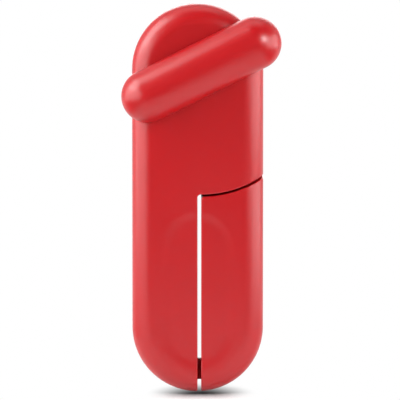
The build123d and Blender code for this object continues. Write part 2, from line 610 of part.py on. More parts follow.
with BuildPart() as knob:
    with BuildSketch(plane_at(KNOB_FOOT_Y)):
        SlotOverall(KNOB_LENGTH, KNOB_WIDTH, rotation=KNOB_TILT)
    extrude(amount=KNOB_HEIGHT)
    fillet(knob.faces().sort_by(Axis.Y)[0].edges(), KNOB_CROWN_ROUND)
    fillet(knob.faces().sort_by(Axis.Y)[-1].edges(), KNOB_FOOT_ROUND)
    add(knob_cavity.part, mode=Mode.SUBTRACT)
    add(rod(0, 0, SHAFT_RADIUS + FIT_GAP, KNOB_FOOT_Y, SHAFT_TOP_Y), mode=Mode.SUBTRACT)
    add(cross_pin(KNOB_PIN_RADIUS + FIT_GAP), mode=Mode.SUBTRACT)

with BuildPart() as knob_base:
    with BuildSketch(plane_at(KNOB_FOOT_Y)):
        SlotOverall(
            KNOB_LENGTH - 2 * (KNOB_WALL + FIT_GAP),
            KNOB_WIDTH - 2 * (KNOB_WALL + FIT_GAP),
            rotation=KNOB_TILT,
        )
        Circle(SHAFT_RADIUS + FIT_GAP, mode=Mode.SUBTRACT)
    extrude(amount=KNOB_BASE_THICKNESS)

with BuildPart() as knob_pin:
    add(cross_pin(KNOB_PIN_RADIUS))

# Drive shaft: round through the bush and hub, square where the feed wheel sits
with BuildPart() as drive_shaft:
    add(rod(0, 0, SHAFT_RADIUS, FEED_FRONT_Y, SHAFT_TOP_Y))
    with BuildSketch(plane_at(SHAFT_END_Y)):
        Rectangle(SHAFT_SQUARE, SHAFT_SQUARE)
    extrude(amount=SHAFT_END_Y - FEED_FRONT_Y)
    add(cross_pin(KNOB_PIN_RADIUS + FIT_GAP), mode=Mode.SUBTRACT)
    add(feed_fixing(FIT_GAP), mode=Mode.SUBTRACT)

with BuildPart() as thrust_washer:
    add(rod(0, 0, THRUST_WASHER_RADIUS, FEED_FRONT_Y, HUB_CAP_END_Y))
    add(rod(0, 0, SHAFT_RADIUS + FIT_GAP, FEED_FRONT_Y, HUB_CAP_END_Y), mode=Mode.SUBTRACT)

# Feed wheel: a serrated steel wheel on the shaft's square
with BuildPart() as feed_wheel:
    with BuildSketch(plane_at(FEED_REAR_Y)):
        Circle(FEED_RADIUS)
        with PolarLocations(FEED_RADIUS, FEED_TEETH):
            Rectangle(FEED_NOTCH_SIDE, FEED_NOTCH_SIDE, rotation=45, mode=Mode.SUBTRACT)
    extrude(amount=FEED_THICKNESS)
    with BuildSketch(plane_at(FEED_REAR_Y - FEED_WEB)):
        Rectangle(SHAFT_SQUARE + 2 * FIT_GAP, SHAFT_SQUARE + 2 * FIT_GAP)
    extrude(amount=FEED_THICKNESS, mode=Mode.SUBTRACT)
    add(feed_fixing(FIT_GAP), mode=Mode.SUBTRACT)

feed_screw = feed_fixing(0)

# Swinging handle: front and rear shells closed over the steel arm's leg and the latch tongue's eye
with BuildPart() as lever_front_cavity:
    add(slab(PARTING_Y, FRONT_INNER_Y, WALL, FRONT_ROUND - WALL))
    add(lever_side(LEVER_SLIT_X + WALL, LEVER_SEAM_RADIUS + WALL), mode=Mode.INTERSECT)

with BuildPart() as lever_front_shell:
    add(front_blank())
    add(lever_side(LEVER_SLIT_X, LEVER_SEAM_RADIUS), mode=Mode.INTERSECT)
    round_split_edges()
    add(lever_front_cavity.part, mode=Mode.SUBTRACT)
    add_posts(LEVER_SCREW_PLACES)
    add(latch_window(LEVER_SLIT_X - WALL, LEVER_SLIT_X + 2 * WALL, FIT_GAP), mode=Mode.SUBTRACT)
    add(
        seam_ring(
            BODY_SEAM_RADIUS,
            LIP_RADIUS + RUNNING_GAP,
            (LEVER_SLIT_X, FAR),
            (LIP_FRONT_Y - RUNNING_GAP, PARTING_Y),
        ),
        mode=Mode.SUBTRACT,
    )

with BuildPart() as lever_rear_cavity:
    add(slab(PARTING_Y, REAR_INNER_Y, WALL, REAR_ROUND - WALL))
    add(lever_side(LEVER_SLIT_X + WALL, LEVER_SEAM_RADIUS + WALL), mode=Mode.INTERSECT)

with BuildPart() as lever_rear_shell:
    add(slab(PARTING_Y, REAR_FACE_Y, 0, REAR_ROUND))
    add(lever_side(LEVER_SLIT_X, LEVER_SEAM_RADIUS), mode=Mode.INTERSECT)
    round_split_edges()
    add(lever_rear_cavity.part, mode=Mode.SUBTRACT)
    for screw_z in LEVER_SCREW_ZS:
        add(rod(ARM_LEG_X, screw_z, POST_RADIUS, REAR_INNER_Y + WALL / 2, ARM_REAR_Y))
    add(rod(LATCH_POST_X, LATCH_Z, POST_RADIUS, REAR_INNER_Y + WALL / 2, PARTING_Y))
    for place in LEVER_SCREW_PLACES:
        add(casing_screw(*place, gap=FIT_GAP), mode=Mode.SUBTRACT)
    add(arm_outline(ARM_SLOT_GAP, ARM_FRONT_Y - ARM_SLOT_GAP, ARM_REAR_Y), mode=Mode.SUBTRACT)

lever_screws = Compound(children=[casing_screw(*place) for place in LEVER_SCREW_PLACES])

# Steel arm: a ring round the hub, a lobe under the cutting wheel and a leg down into the swinging handle
with BuildPart() as lever_arm:
    add(arm_outline(0, ARM_FRONT_Y, ARM_REAR_Y))
    add(rod(0, HUB_Z, HUB_RADIUS + FIT_GAP, ARM_REAR_Y, ARM_FRONT_Y), mode=Mode.SUBTRACT)
    add(rod(CUTTER_X, 0, STUD_SPIGOT_RADIUS, ARM_REAR_Y, ARM_FRONT_Y), mode=Mode.SUBTRACT)
    for screw_z in LEVER_SCREW_ZS:
        add(rod(ARM_LEG_X, screw_z, SCREW_RADIUS + FIT_GAP, ARM_REAR_Y, ARM_FRONT_Y), mode=Mode.SUBTRACT)

# Latch tongue: an eye on the swinging handle's lowest post and a notched tongue across the slit
with BuildPart() as latch_tongue:
    with BuildSketch(plane_at(LATCH_REAR_Y)):
        with Locations((LATCH_TIP_X, LATCH_Z)):
            Rectangle(LATCH_POST_X - LATCH_TIP_X, LATCH_HEIGHT, align=(Align.MIN, Align.CENTER))
        with Locations((LATCH_POST_X, LATCH_Z)):
            Circle(LATCH_EYE_RADIUS)
            Circle(POST_RADIUS + FIT_GAP, mode=Mode.SUBTRACT)
        with Locations((LATCH_NOTCH_X, LATCH_TOP_Z)):
            Rectangle(LATCH_NOTCH_SIDE, LATCH_NOTCH_SIDE, rotation=45, mode=Mode.SUBTRACT)
    extrude(amount=LATCH_THICKNESS)
    tip_corners = latch_tongue.edges().filter_by(Axis.Y).group_by(Axis.X)[0]
    chamfer(tip_corners, LATCH_TIP_CHAMFER)

# Cutting wheel on its stud, with the washer and screw that keep it there
with BuildPart() as cutter_stud:
    add(rod(CUTTER_X, 0, STUD_SPIGOT_RADIUS, ARM_REAR_Y, ARM_FRONT_Y))
    add(rod(CUTTER_X, 0, STUD_RADIUS, STUD_SHOULDER_Y, ARM_REAR_Y))
    add(rod(CUTTER_X, 0, STUD_SPIGOT_RADIUS, STUD_END_Y, STUD_SHOULDER_Y))
    add(rod(CUTTER_X, 0, CUTTER_SCREW_RADIUS + FIT_GAP, STUD_END_Y, CUTTER_SCREW_TIP_Y), mode=Mode.SUBTRACT)

with BuildPart() as cutting_wheel:
    add(
        turned(
            CUTTER_X,
            0,
            [
                (STUD_SPIGOT_RADIUS + FIT_GAP, CUTTER_FRONT_Y),
                (CUTTER_RADIUS - CUTTER_BEVEL, CUTTER_FRONT_Y),
                (CUTTER_RADIUS, CUTTER_FRONT_Y + CUTTER_EDGE),
                (CUTTER_RADIUS - CUTTER_BEVEL, CUTTER_REAR_Y),
                (STUD_SPIGOT_RADIUS + FIT_GAP, CUTTER_REAR_Y),
            ],
        )
    )

with BuildPart() as cutter_washer:
    add(rod(CUTTER_X, 0, CUTTER_WASHER_RADIUS, CUTTER_WASHER_END_Y, STUD_END_Y))
    add(rod(CUTTER_X, 0, CUTTER_SCREW_RADIUS + FIT_GAP, CUTTER_WASHER_END_Y, STUD_END_Y), mode=Mode.SUBTRACT)

with BuildPart() as cutter_screw:
    add(rod(CUTTER_X, 0, CUTTER_SCREW_RADIUS, CUTTER_WASHER_END_Y, CUTTER_SCREW_TIP_Y))
    add(rod(CUTTER_X, 0, CUTTER_SCREW_HEAD_RADIUS, CUTTER_SCREW_END_Y, CUTTER_WASHER_END_Y))
    fillet(cutter_screw.faces().sort_by(Axis.Y)[-1].edges(), CUTTER_SCREW_HEAD_HEIGHT / 2)

PIECES = {
    "body_front_shell": body_front_shell.part,
    "body_rear_shell": body_rear_shell.part,
    "body_screws": body_screws,
    "eccentric_hub": eccentric_hub.part,
    "hub_cap": hub_cap.part,
    "hub_screws": hub_screws,
    "front_bush": front_bush.part,
    "magnet_arm": magnet_arm.part,
    "magnet_screw": magnet_screw,
    "lid_magnet": lid_magnet.part,
    "catch_spring": catch_spring.part,
    "knob": knob.part,
    "knob_base": knob_base.part,
    "knob_pin": knob_pin.part,
    "drive_shaft": drive_shaft.part,
    "thrust_washer": thrust_washer.part,
    "feed_wheel": feed_wheel.part,
    "feed_screw": feed_screw,
    "lever_front_shell": lever_front_shell.part,
    "lever_rear_shell": lever_rear_shell.part,
    "lever_screws": lever_screws,
    "lever_arm": lever_arm.part,
    "latch_tongue": latch_tongue.part,
    "cutter_stud": cutter_stud.part,
    "cutting_wheel": cutting_wheel.part,
    "cutter_washer": cutter_washer.part,
    "cutter_screw": cutter_screw.part,
}

os.makedirs("parts", exist_ok=True)
for name, piece in PIECES.items():
    piece.label = name
    export_step(piece, f"parts/{name}.step")
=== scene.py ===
"""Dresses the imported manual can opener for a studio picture.

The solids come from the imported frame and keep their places. This file gives each of them a finish, swaps the
plain screws for cross-head ones, and sets the white table, the lamps and the camera. Lengths are in metres,
except where a name ends in mm.
"""

import functools
import logging
import math
from dataclasses import dataclass
from enum import Enum
from typing import ClassVar, NamedTuple

import bpy
import numpy as np
from mathutils import Matrix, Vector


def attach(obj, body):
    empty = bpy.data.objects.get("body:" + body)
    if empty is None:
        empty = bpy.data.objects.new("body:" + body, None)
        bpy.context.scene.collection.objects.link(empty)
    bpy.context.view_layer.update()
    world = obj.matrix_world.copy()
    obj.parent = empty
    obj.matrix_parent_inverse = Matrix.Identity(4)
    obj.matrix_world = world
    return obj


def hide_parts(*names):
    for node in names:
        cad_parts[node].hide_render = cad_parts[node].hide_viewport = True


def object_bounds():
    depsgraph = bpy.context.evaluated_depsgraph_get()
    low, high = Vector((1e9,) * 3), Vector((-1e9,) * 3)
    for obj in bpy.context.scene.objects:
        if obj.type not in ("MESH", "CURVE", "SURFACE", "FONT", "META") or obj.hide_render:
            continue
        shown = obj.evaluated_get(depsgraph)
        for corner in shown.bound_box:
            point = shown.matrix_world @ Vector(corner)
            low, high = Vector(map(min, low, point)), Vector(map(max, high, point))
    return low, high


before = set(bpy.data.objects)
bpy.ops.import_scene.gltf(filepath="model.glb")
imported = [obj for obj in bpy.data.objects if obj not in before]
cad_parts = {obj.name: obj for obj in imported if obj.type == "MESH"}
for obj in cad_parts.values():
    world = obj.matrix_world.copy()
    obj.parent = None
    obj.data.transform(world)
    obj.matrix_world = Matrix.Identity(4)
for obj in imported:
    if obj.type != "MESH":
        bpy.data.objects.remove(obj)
CAD_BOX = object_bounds()
MM = 0.001
WELD_MM = 0.002  # points nearer than this are one
MIX_A, MIX_B, MIX_RESULT = 6, 7, 2  # where Blender's Mix node keeps its two colours and their mix
LOG = logging.getLogger("can_opener")


class Body(Enum):
    """The rigid bodies that new pieces ride on."""

    CASING = "body"
    DRIVE = "drive"
    HANDLE = "lever"


class Axis(Enum):
    """Directions that a brushed finish can run along."""

    X = 0
    Y = 1
    Z = 2


def linear(code: str) -> tuple[float, float, float, float]:
    """Turns an sRGB hex colour into linear values.

    Args:
        code: Six hex digits after a hash.

    Returns:
        Red, green, blue and a full alpha, linear.
    """
    parts = [int(code[i : i + 2], 16) / 255 for i in (1, 3, 5)]
    flat = [c / 12.92 if c <= 0.04045 else ((c + 0.055) / 1.055) ** 2.4 for c in parts]
    return (*flat, 1.0)


def add_node(
    tree: bpy.types.NodeTree,
    kind: str,
    sockets: dict[str | int, object] | None = None,
    **settings: object,
) -> bpy.types.Node:
    """Adds one node, with its settings, its constant sockets and its links.

    Args:
        tree: The material's or world's tree.
        kind: Blender's name for the node type.
        sockets: Input name or index to a constant, or to an output socket to link from.
        **settings: Properties of the node.

    Returns:
        The new node.
    """
    new = tree.nodes.new(kind)
    for name, value in settings.items():
        setattr(new, name, value)
    for name, value in (sockets or {}).items():
        if isinstance(value, bpy.types.NodeSocket):
            tree.links.new(value, new.inputs[name])
        else:
            new.inputs[name].default_value = value
    return new


class Pattern(NamedTuple):
    """The sockets that vary a finish over its surface, each from 0 to 1."""

    colour: bpy.types.NodeSocket
    gloss: bpy.types.NodeSocket
    relief: bpy.types.NodeSocket


@dataclass(frozen=True)
class Finish:
    """What every finish shares: a name, two colours that it wanders between, and a roughness."""

    name: str
    colour: str
    dark_colour: str
    roughness: float

    gloss_span: ClassVar[tuple[float, float]]  # what the pattern adds to the roughness, lowest and highest
    relief_strength: ClassVar[float]
    relief_mm: ClassVar[float] = 0.01

    def pattern(self, tree: bpy.types.NodeTree, place: bpy.types.NodeSocket) -> Pattern:
        """Draws the finish's pattern on the Object coordinates."""
        raise NotImplementedError

    def substance(self) -> dict[str | int, object]:
        """Gives the shader's constants: those of bare metal, unless a finish says otherwise."""
        return {"Metallic": 1.0}

    @functools.cache
    def make(self) -> bpy.types.Material:
        """Builds the material once, with its pattern in the colour, the gloss and the bump.

        Returns:
            The material, the same one at every call.
        """
        material = bpy.data.materials.new(self.name)
        material.use_nodes = True
        tree = material.node_tree
        tree.nodes.clear()
        pattern = self.pattern(tree, add_node(tree, "ShaderNodeTexCoord").outputs["Object"])
        tint = add_node(
            tree,
            "ShaderNodeMix",
            {"Factor": pattern.colour, MIX_A: linear(self.dark_colour), MIX_B: linear(self.colour)},
            data_type="RGBA",
        )
        low, high = self.gloss_span
        gloss = add_node(
            tree,
            "ShaderNodeMapRange",
            {"Value": pattern.gloss, "To Min": self.roughness + low, "To Max": self.roughness + high},
        )
        bump = add_node(
            tree,
            "ShaderNodeBump",
            {"Height": pattern.relief, "Strength": self.relief_strength, "Distance": self.relief_mm * MM},
        )
        varied = {
            "Base Color": tint.outputs[MIX_RESULT],
            "Roughness": gloss.outputs["Result"],
            "Normal": bump.outputs["Normal"],
        }
        shader = add_node(tree, "ShaderNodeBsdfPrincipled", varied | self.substance())
        add_node(tree, "ShaderNodeOutputMaterial", {"Surface": shader.outputs["BSDF"]})
        return material


@dataclass(frozen=True)
class MouldedPlastic(Finish):
    """Plastic moulded in a spark-eroded tool: an even colour under a very fine, soft-edged grain."""

    ior: float = 1.5
    grain_mm: float = 0.45  # coarser than a real 0.05 mm grain, so that it shows
    cloud_mm: float = 28.0
    translucency: float = 0.6  # light that goes in comes out again nearby, so narrow gaps keep some colour
    light_reach_mm: float = 3.0
    reach_by_colour: tuple[float, float, float] = (1.0, 0.15, 0.1)  # red goes furthest

    gloss_span: ClassVar[tuple[float, float]] = (-0.04, 0.04)
    relief_strength: ClassVar[float] = 0.35
    relief_mm: ClassVar[float] = 0.004

    def pattern(self, tree: bpy.types.NodeTree, place: bpy.types.NodeSocket) -> Pattern:
        """Draws a faint cloud for the colour, and the tool's grain for the gloss and the relief.

        Args:
            tree: The material's tree.
            place: Object coordinates.

        Returns:
            The pattern's sockets.
        """
        cloud = add_node(
            tree, "ShaderNodeTexNoise", {"Vector": place, "Scale": 1 / (self.cloud_mm * MM), "Detail": 3.0}
        )
        grain = add_node(
            tree, "ShaderNodeTexNoise", {"Vector": place, "Scale": 1 / (self.grain_mm * MM), "Detail": 2.0}
        )
        return Pattern(cloud.outputs["Fac"], grain.outputs["Fac"], grain.outputs["Fac"])

    def substance(self) -> dict[str | int, object]:
        """Gives the shader's constants for a plastic that light enters a little way.

        Returns:
            Socket name to value.
        """
        return {
            "IOR": self.ior,
            "Subsurface Weight": self.translucency,
            "Subsurface Radius": self.reach_by_colour,
            "Subsurface Scale": self.light_reach_mm * MM,
        }


@dataclass(frozen=True)
class BrushedMetal(Finish):
    """Sheet or bar metal rubbed one way: fine streaks along one axis, and a soft stretched highlight."""

    along: Axis = Axis.Z
    streak_mm: float = 0.5  # coarser than a real 0.05 mm scratch, so that it shows
    stretch: float = 40.0

    gloss_span: ClassVar[tuple[float, float]] = (-0.08, 0.1)
    relief_strength: ClassVar[float] = 0.2

    def pattern(self, tree: bpy.types.NodeTree, place: bpy.types.NodeSocket) -> Pattern:
        """Draws noise stretched along the rubbing.

        Args:
            tree: The material's tree.
            place: Object coordinates.

        Returns:
            The pattern's sockets.
        """
        scale = [1 / (self.streak_mm * MM)] * 3
        scale[self.along.value] /= self.stretch
        lay = add_node(tree, "ShaderNodeMapping", {"Vector": place, "Scale": scale})
        streak = add_node(
            tree, "ShaderNodeTexNoise", {"Vector": lay.outputs["Vector"], "Scale": 1.0, "Detail": 4.0}
        ).outputs["Fac"]
        return Pattern(streak, streak, streak)


@dataclass(frozen=True)
class TurnedMetal(Finish):
    """Metal ground or turned about an axis along Y: fine rings that catch the light in a bow tie."""

    centre_x_mm: float = 0.0
    ring_mm: float = 0.6  # coarser than real grinding marks, so that they show

    gloss_span: ClassVar[tuple[float, float]] = (-0.05, 0.08)
    relief_strength: ClassVar[float] = 0.15
    wave_rate: ClassVar[float] = 20.0  # radians that Blender's waves run for each unit of their scale

    def pattern(self, tree: bpy.types.NodeTree, place: bpy.types.NodeSocket) -> Pattern:
        """Draws waves of the distance from the centre, broken up by a little noise.

        Args:
            tree: The material's tree.
            place: Object coordinates.

        Returns:
            The pattern's sockets.
        """
        centred = add_node(
            tree, "ShaderNodeMapping", {"Vector": place, "Location": (-self.centre_x_mm * MM, 0.0, 0.0)}
        )
        rings = add_node(
            tree,
            "ShaderNodeTexWave",
            {
                "Vector": centred.outputs["Vector"],
                "Scale": 2 * math.pi / (self.wave_rate * self.ring_mm * MM),
                "Distortion": 2.5,
                "Detail": 2.0,
                "Detail Scale": 0.6,
            },
            wave_type="RINGS",
            rings_direction="Y",
        ).outputs["Fac"]
        return Pattern(rings, rings, rings)


@dataclass(frozen=True)
class CastMetal(Finish):
    """Die-cast or plated metal: a slightly clouded grey with a soft, uneven gloss."""

    cloud_mm: float = 3.5
    pit_mm: float = 0.5  # coarser than real pits, so that they show

    gloss_span: ClassVar[tuple[float, float]] = (-0.07, 0.09)
    relief_strength: ClassVar[float] = 0.2

    def pattern(self, tree: bpy.types.NodeTree, place: bpy.types.NodeSocket) -> Pattern:
        """Draws broad clouds for the colour and the gloss, and fine pits for the relief.

        Args:
            tree: The material's tree.
            place: Object coordinates.

        Returns:
            The pattern's sockets.
        """
        cloud = add_node(
            tree, "ShaderNodeTexNoise", {"Vector": place, "Scale": 1 / (self.cloud_mm * MM), "Detail": 4.0}
        )
        pits = add_node(
            tree, "ShaderNodeTexNoise", {"Vector": place, "Scale": 1 / (self.pit_mm * MM), "Detail": 2.0}
        )
        return Pattern(cloud.outputs["Fac"], cloud.outputs["Fac"], pits.outputs["Fac"])


# Coloured ABS moulded in a fine spark-eroded tool: an even red, satin, that goes pink where it turns away
RED_ABS = MouldedPlastic("abs_red_moulded_satin", "#ab0a11", "#a5080f", 0.34, ior=1.55)
# Nylon moulded and left matt: a deep red with hardly any shine
RED_NYLON = MouldedPlastic("nylon_red_moulded_matt", "#b8080f", "#b0070d", 0.55, ior=1.35)
# Natural acetal, turned: milky white and waxy
ACETAL = MouldedPlastic(
    "acetal_natural_turned",
    "#e6e4dd",
    "#dcdad2",
    0.42,
    ior=1.48,
    grain_mm=0.6,
    reach_by_colour=(1.0, 0.9, 0.8),
)
# Cold-rolled strip, stamped and tumbled: grey steel with streaks down its length
STRIP_STEEL = BrushedMetal("steel_strip_stamped_brushed", "#c4c6c8", "#8a8b8d", 0.34)
# Spring strip: the same steel, bluer and brighter
SPRING_STEEL = BrushedMetal("steel_spring_strip_polished", "#b9bdc4", "#7f8590", 0.26, along=Axis.X)
# Bar steel, turned: grey with fine rings round the shaft
SHAFT_STEEL = TurnedMetal("steel_bar_turned", "#c2c3c5", "#8f9092", 0.3)
# Hardened steel with cut teeth: a little duller, with wider rings
FEED_STEEL = TurnedMetal("steel_hardened_hobbed", "#bfc0c2", "#8f9092", 0.33, ring_mm=0.8)
# Hardened steel, ground sharp: the brightest, with rings about the wheel's own centre
CUTTER_STEEL = TurnedMetal("steel_hardened_ground", "#d3d4d6", "#8f9092", 0.24, centre_x_mm=-18.4)
# Zinc alloy, die-cast and barrel-finished: dull grey with faint clouds
CAST_ZINC = CastMetal("zinc_alloy_die_cast", "#b4b7ba", "#84878b", 0.42)
# Steel screws and pins, bright zinc plated: a cold, clear shine
PLATED = CastMetal("steel_zinc_plated_bright", "#d0d3d8", "#aeb4bd", 0.24, cloud_mm=2.0)
# Sintered magnet, barrel nickel plated: a warm grey with a soft shine
NICKEL = CastMetal("magnet_nickel_plated", "#8f8a81", "#7f7a72", 0.34, cloud_mm=5.0)


def soften(piece: bpy.types.Object, crease_deg: float) -> None:
    """Welds a piece's doubles and shades it smooth up to its hard edges.

    Args:
        piece: The piece.
        crease_deg: Edges sharper than this stay hard.
    """
    piece.data.polygons.foreach_set("use_smooth", np.ones(len(piece.data.polygons), dtype=bool))
    weld = piece.modifiers.new("weld", "WELD")
    weld.merge_threshold = WELD_MM * MM
    crease = piece.modifiers.new("crease", "EDGE_SPLIT")
    crease.split_angle = math.radians(crease_deg)


def dress(finish: Finish, *names: str, crease_deg: float = 28.0) -> None:
    """Gives CAD nodes their finish and smooth shading.

    Args:
        finish: The finish.
        *names: The nodes' names.
        crease_deg: Edges sharper than this stay hard.
    """
    for name in names:
        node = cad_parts[name]
        node.data.materials.clear()
        node.data.materials.append(finish.make())
        soften(node, crease_deg)
        LOG.info("dressed %s with %s", name, finish.name)


def grid_mesh(
    name: str, points: np.ndarray, closed: bool, material: bpy.types.Material
) -> bpy.types.Object:
    """Makes one object from grids of points, four corners to a face.

    Args:
        name: The piece's name.
        points: Array of shape (grids, rows, columns, 3).
        closed: True if the last column joins the first.
        material: The piece's material.

    Returns:
        The object, at the origin, with doubles left where a row is one point.
    """
    grids, rows, columns, _ = points.shape
    index = np.arange(grids * rows * columns).reshape(grids, rows, columns)
    after = np.roll(index, -1, axis=2) if closed else index[:, :, 1:]
    before = index if closed else index[:, :, :-1]
    corners = [before[:, :-1], after[:, :-1], after[:, 1:], before[:, 1:]]
    mesh = bpy.data.meshes.new(name)
    mesh.from_pydata(points.reshape(-1, 3).tolist(), [], np.stack(corners, axis=-1).reshape(-1, 4).tolist())
    mesh.materials.append(material)
    piece = bpy.data.objects.new(name, mesh)
    bpy.context.scene.collection.objects.link(piece)
    return piece


class ScrewPlace(NamedTuple):
    """Where a screw sits: its axis, the face of its head and its whole length."""

    x_mm: float
    z_mm: float
    head_y_mm: float
    length_mm: float


class ScrewSize(NamedTuple):
    """A flat-head screw's head and shank."""

    head_radius_mm: float
    head_height_mm: float
    shank_radius_mm: float


CASING_SCREW = ScrewSize(2.9, 1.5, 1.4)
HUB_SCREW = ScrewSize(2.2, 0.9, 1.2)
FEED_SCREW = ScrewSize(2.6, 1.3, 1.3)


@dataclass(frozen=True)
class CrossHeadScrews:
    """Flat-head screws with cross-shaped driver recesses, along Y with their heads to the back."""

    node: str
    body: Body
    size: ScrewSize
    places: tuple[ScrewPlace, ...]
    rings: int = 26
    segments: int = 72
    crease_deg: float = 40.0

    # The recess, as shares of the head's radius, and its depth as a share of the head's height
    arm_half_width: ClassVar[float] = 0.17
    arm_wall: ClassVar[float] = 0.085
    arm_reach: ClassVar[float] = 0.66
    arm_end: ClassVar[float] = 0.18
    recess_depth: ClassVar[float] = 0.55

    def surface(self) -> np.ndarray:
        """Works out every screw, in millimetres until the end, as a profile turned about its axis.

        The profile goes from the head's centre to its rim, down the cone and along the shank to the tip. On
        the head's face a point sinks by the recess depth times a soft step of its distance to the nearer arm
        of a cross, and the step fades towards the arms' ends.

        Returns:
            Points of shape (screws, rows, segments, 3).
        """
        head, height, shank = self.size
        turn = np.linspace(0, 2 * np.pi, self.segments, endpoint=False)
        radius = np.concatenate([np.linspace(0, head, self.rings), [shank, shank, 0.0]])[:, None]
        across, up = radius * np.cos(turn), radius * np.sin(turn)
        off_arm = np.minimum(np.abs(across), np.abs(up))
        step = np.clip((self.arm_half_width * head - off_arm) / (self.arm_wall * head), 0, 1)
        fade = np.clip((self.arm_reach * head - radius) / (self.arm_end * head), 0, 1)
        dip = self.recess_depth * height * step * step * (3 - 2 * step) * fade
        x, z, head_y, length = np.array(self.places).T[:, :, None, None]
        depth = np.repeat(dip[None], len(self.places), axis=0)
        depth[:, self.rings] = height
        depth[:, self.rings + 1 :] = length
        return np.stack(np.broadcast_arrays(x + across, head_y - depth, z - up), axis=-1) * MM

    def build(self) -> None:
        """Makes the screws in place of the plain ones."""
        piece = grid_mesh(f"{self.node}_cross_head", self.surface(), True, PLATED.make())
        soften(piece, self.crease_deg)
        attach(piece, self.body.value)
        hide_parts(self.node)
        LOG.info("built %s", piece.name)


@dataclass(frozen=True)
class Casing:
    """The body in the left hand: two shells, the hub group, the magnet's arm and the catch."""

    shells: tuple[str, ...] = ("body_front_shell", "body_rear_shell", "magnet_arm")
    castings: tuple[str, ...] = ("eccentric_hub", "hub_cap")
    shell_screws: tuple[ScrewPlace, ...] = (
        ScrewPlace(-21.0, -7.5, -6.4, 13.9),
        ScrewPlace(21.0, -7.5, -6.4, 13.9),
        ScrewPlace(-18.0, -72.0, -1.0, 20.0),
        ScrewPlace(-18.0, -120.0, -1.0, 20.0),
    )
    cap_screws: tuple[ScrewPlace, ...] = (
        ScrewPlace(-8.5, -10.0, -2.5, 6.0),
        ScrewPlace(8.5, -10.0, -2.5, 6.0),
    )

    def build(self) -> None:
        """Dresses the shells and the hub, and makes the screws."""
        dress(RED_ABS, *self.shells)
        dress(CAST_ZINC, *self.castings)
        dress(ACETAL, "front_bush")
        dress(NICKEL, "lid_magnet")
        dress(SPRING_STEEL, "catch_spring")
        dress(PLATED, "magnet_screw")
        CrossHeadScrews("body_screws", Body.CASING, CASING_SCREW, self.shell_screws).build()
        CrossHeadScrews("hub_screws", Body.CASING, HUB_SCREW, self.cap_screws).build()


@dataclass(frozen=True)
class Drive:
    """What the knob turns: the knob, its base and pin, the shaft and the feed wheel."""

    knob: tuple[str, ...] = ("knob", "knob_base")
    plated: tuple[str, ...] = ("knob_pin", "thrust_washer")
    tooth_crease_deg: float = 22.0
    wheel_screw: ScrewPlace = ScrewPlace(0.0, 0.0, 2.25, 9.0)

    def build(self) -> None:
        """Dresses the knob and the shaft group, and makes the feed wheel's screw."""
        dress(RED_ABS, *self.knob)
        dress(PLATED, *self.plated)
        dress(SHAFT_STEEL, "drive_shaft")
        dress(FEED_STEEL, "feed_wheel", crease_deg=self.tooth_crease_deg)
        CrossHeadScrews("feed_screw", Body.DRIVE, FEED_SCREW, (self.wheel_screw,)).build()


@dataclass(frozen=True)
class SwingingHandle:
    """The lower right handle: two shells, the steel arm, the latch tongue and the cutting wheel's stud."""

    shells: tuple[str, ...] = ("lever_front_shell", "lever_rear_shell")
    plated: tuple[str, ...] = ("cutter_washer", "cutter_screw")
    shell_screws: tuple[ScrewPlace, ...] = (
        ScrewPlace(14.0, -78.0, -1.0, 14.0),
        ScrewPlace(14.0, -108.0, -1.0, 14.0),
        ScrewPlace(8.0, -147.1, -1.0, 20.0),
    )

    def build(self) -> None:
        """Dresses the handle and the arm, and makes the screws."""
        dress(RED_ABS, *self.shells)
        dress(RED_NYLON, "latch_tongue")
        dress(STRIP_STEEL, "lever_arm")
        dress(SHAFT_STEEL, "cutter_stud")
        dress(PLATED, *self.plated)
        CrossHeadScrews("lever_screws", Body.HANDLE, CASING_SCREW, self.shell_screws).build()


@dataclass(frozen=True)
class CuttingWheel:
    """The bevelled wheel that the can turns."""

    bevel_crease_deg: float = 12.0

    def build(self) -> None:
        """Dresses the wheel with rings about its own centre."""
        dress(CUTTER_STEEL, "cutting_wheel", crease_deg=self.bevel_crease_deg)


def aim(thing: bpy.types.Object, place: np.ndarray, target: np.ndarray) -> None:
    """Puts a lamp or the camera at a place, with its -Z axis to a target and its Y axis upwards.

    Args:
        thing: The lamp or camera.
        place: Where it stands, not straight above the target.
        target: Where it looks.
    """
    back = (place - target) / np.linalg.norm(place - target)
    right = np.cross((0.0, 0.0, 1.0), back)
    right /= np.linalg.norm(right)
    matrix = np.eye(4)
    matrix[:3] = np.column_stack([right, np.cross(back, right), back, place])
    thing.matrix_world = Matrix(matrix.tolist())


@dataclass(frozen=True)
class Softbox:
    """One rectangular studio lamp that points at the object's middle."""

    name: str
    place: tuple[float, float, float]
    size: tuple[float, float]
    watts: float

    def build(self, target: np.ndarray) -> None:
        """Makes the lamp.

        Args:
            target: The point that it faces.
        """
        data = bpy.data.lights.new(self.name, "AREA")
        data.shape = "RECTANGLE"
        data.size, data.size_y = self.size
        data.energy = self.watts
        lamp = bpy.data.objects.new(self.name, data)
        bpy.context.scene.collection.objects.link(lamp)
        aim(lamp, np.array(self.place), target)
        LOG.info("lit %s", self.name)


